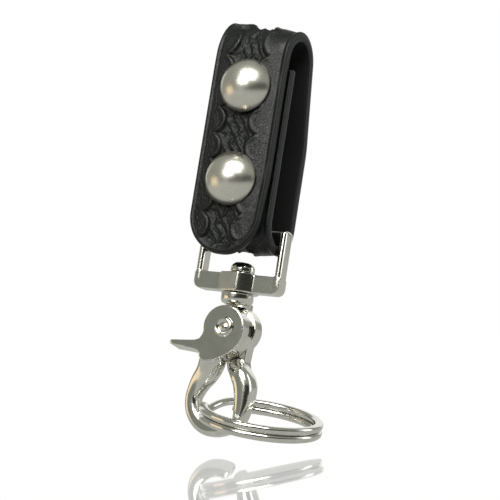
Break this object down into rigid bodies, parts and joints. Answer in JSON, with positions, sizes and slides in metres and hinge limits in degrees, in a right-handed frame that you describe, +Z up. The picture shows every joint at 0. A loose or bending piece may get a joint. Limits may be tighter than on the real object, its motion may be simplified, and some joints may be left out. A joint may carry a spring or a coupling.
{
  "type": "belt loop key holder",
  "caption": "Leather belt-loop key holder: a folded strap closed by press snaps, with a swivelling scissor snap and a split key ring.",
  "frame": {"origin": "centre of the belt opening, the point the worn belt passes through", "axes": "+X across the strap along the belt, -Y towards the front flap and its snap caps, +Z up along the strap's length"},
  "size_m": [0.0461, 0.0381, 0.1157],
  "materials": {
    "leather": "semi-gloss dyed, stamped",
    "snap_nickel": "satin nickel plate",
    "snap_brass": "nickel-washed brass",
    "nickel_casting": "polished nickel plate",
    "spring_wire": "drawn spring steel",
    "ring_steel": "polished nickel-plated steel"
  },
  "bodies": {
    "strap": {"strap_body": "leather", "upper_snap_stud": "snap_brass", "lower_snap_stud": "snap_brass", "upper_stud_eyelet": "snap_brass", "lower_stud_eyelet": "snap_brass"},
    "flap": {"strap_flap": "leather", "upper_snap_cap": "snap_nickel", "lower_snap_cap": "snap_nickel", "upper_snap_socket": "snap_brass", "lower_snap_socket": "snap_brass", "upper_socket_spring": "spring_wire", "lower_socket_spring": "spring_wire"},
    "loop": {"swivel_loop": "nickel_casting"},
    "hook": {"fixed_jaw": "nickel_casting", "pivot_rivet": "nickel_casting", "lever_spring": "spring_wire"},
    "lever": {"lever_jaw": "nickel_casting"},
    "ring": {"split_ring": "ring_steel"}
  },
  "joints": [
    {"name": "flap_open", "type": "hinge", "parent": "strap", "child": "flap", "pos_m": [0, -0.00703, 0.02951], "axis": [-1, 0, 0], "range_deg": [0, 100]},
    {"name": "loop_swing", "type": "hinge", "parent": "strap", "child": "loop", "pos_m": [0, 0.0014, -0.0261], "axis": [1, 0, 0], "range_deg": [-25, 100]},
    {"name": "hook_swivel", "type": "hinge", "parent": "loop", "child": "hook", "pos_m": [0, 0.0014, -0.0405], "axis": [0, 0, 1], "continuous": true},
    {"name": "lever_open", "type": "hinge", "parent": "hook", "child": "lever", "pos_m": [0, 0, -0.0538], "axis": [0, 1, 0], "range_deg": [0, 22], "stiffness_Nm_per_rad": 0.08, "springref_deg": -34.38},
    {"name": "ring_swing", "type": "hinge", "parent": "hook", "child": "ring", "pos_m": [-0.0034, 0.002, -0.0758], "axis": [0, 0.9724, 0.2334], "range_deg": [-40, 160]}
  ]
}
